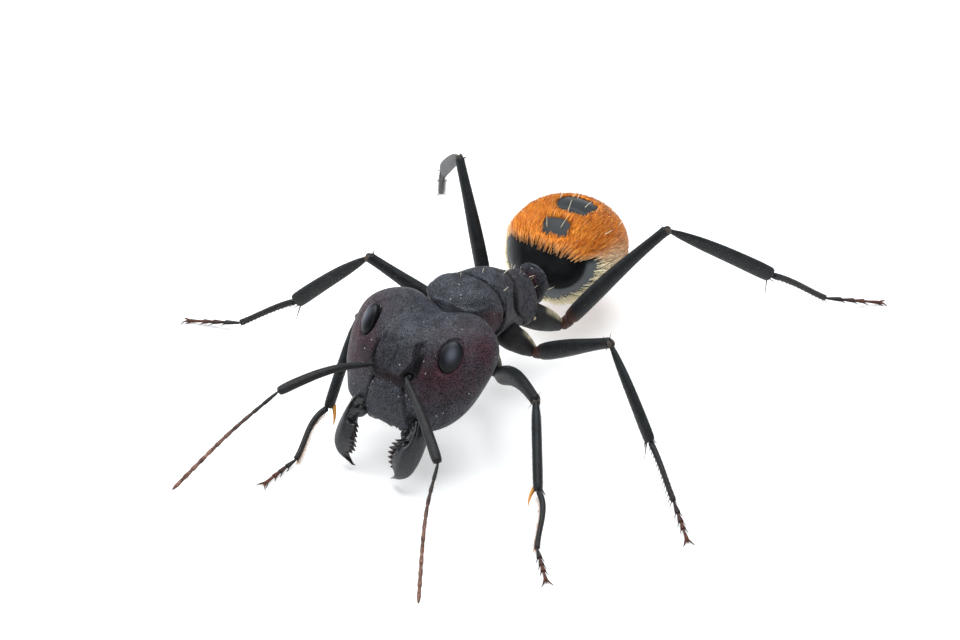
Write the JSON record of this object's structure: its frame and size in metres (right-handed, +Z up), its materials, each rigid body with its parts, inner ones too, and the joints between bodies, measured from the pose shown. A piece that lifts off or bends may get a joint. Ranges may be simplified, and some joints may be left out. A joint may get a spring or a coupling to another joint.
{
  "type": "carpenter ant",
  "caption": "Large-headed worker of a carpenter ant, standing with open jaws, life size, black with a coat of orange hair on its rear body.",
  "frame": {"origin": "middle of the space the ant takes up, on the floor under it", "axes": "-Y is the way it heads, +X is its left side, +Z is up"},
  "size_m": [0.019, 0.0224, 0.0056],
  "materials": {
    "head_shell": "finely granular, matte charcoal black with a wine-red tint on the cheeks",
    "jaw_shell": "hard, smooth and glossy black, the teeth polished",
    "eye_lens": "smooth grey-black, softly glossy, very finely faceted",
    "body_shell": "finely granular, matte charcoal black",
    "gaster_shell": "black plates under a lying coat of orange hair, with two bare patches",
    "leg_shell": "charcoal black, satin, turning dark red-brown in the feet",
    "feeler_shell": "black at the base, turning to red-brown towards the tip"
  },
  "bodies": {
    "root": {"head": "head_shell", "mouthparts": "head_shell", "eye_left": "eye_lens", "eye_right": "eye_lens", "mandible_left": "jaw_shell", "mandible_right": "jaw_shell", "pronotum": "body_shell", "mesonotum": "body_shell", "propodeum": "body_shell", "petiole": "body_shell", "gaster_segment_1": "gaster_shell", "gaster_segment_2": "gaster_shell", "gaster_segment_3": "gaster_shell", "gaster_segment_4": "gaster_shell", "gaster_segment_5": "gaster_shell", "coxa_fore_left": "leg_shell", "femur_fore_left": "leg_shell", "tibia_fore_left": "leg_shell", "basitarsus_fore_left": "leg_shell", "tarsus_fore_left": "leg_shell", "coxa_fore_right": "leg_shell", "femur_fore_right": "leg_shell", "tibia_fore_right": "leg_shell", "basitarsus_fore_right": "leg_shell", "tarsus_fore_right": "leg_shell", "coxa_mid_left": "leg_shell", "femur_mid_left": "leg_shell", "tibia_mid_left": "leg_shell", "basitarsus_mid_left": "leg_shell", "tarsus_mid_left": "leg_shell", "coxa_mid_right": "leg_shell", "femur_mid_right": "leg_shell", "tibia_mid_right": "leg_shell", "basitarsus_mid_right": "leg_shell", "tarsus_mid_right": "leg_shell", "coxa_hind_left": "leg_shell", "femur_hind_left": "leg_shell", "tibia_hind_left": "leg_shell", "basitarsus_hind_left": "leg_shell", "tarsus_hind_left": "leg_shell", "coxa_hind_right": "leg_shell", "femur_hind_right": "leg_shell", "tibia_hind_right": "leg_shell", "basitarsus_hind_right": "leg_shell", "tarsus_hind_right": "leg_shell", "antenna_scape_left": "leg_shell", "antenna_funiculus_left": "feeler_shell", "antenna_scape_right": "leg_shell", "antenna_funiculus_right": "feeler_shell"}
  },
  "joints": []
}
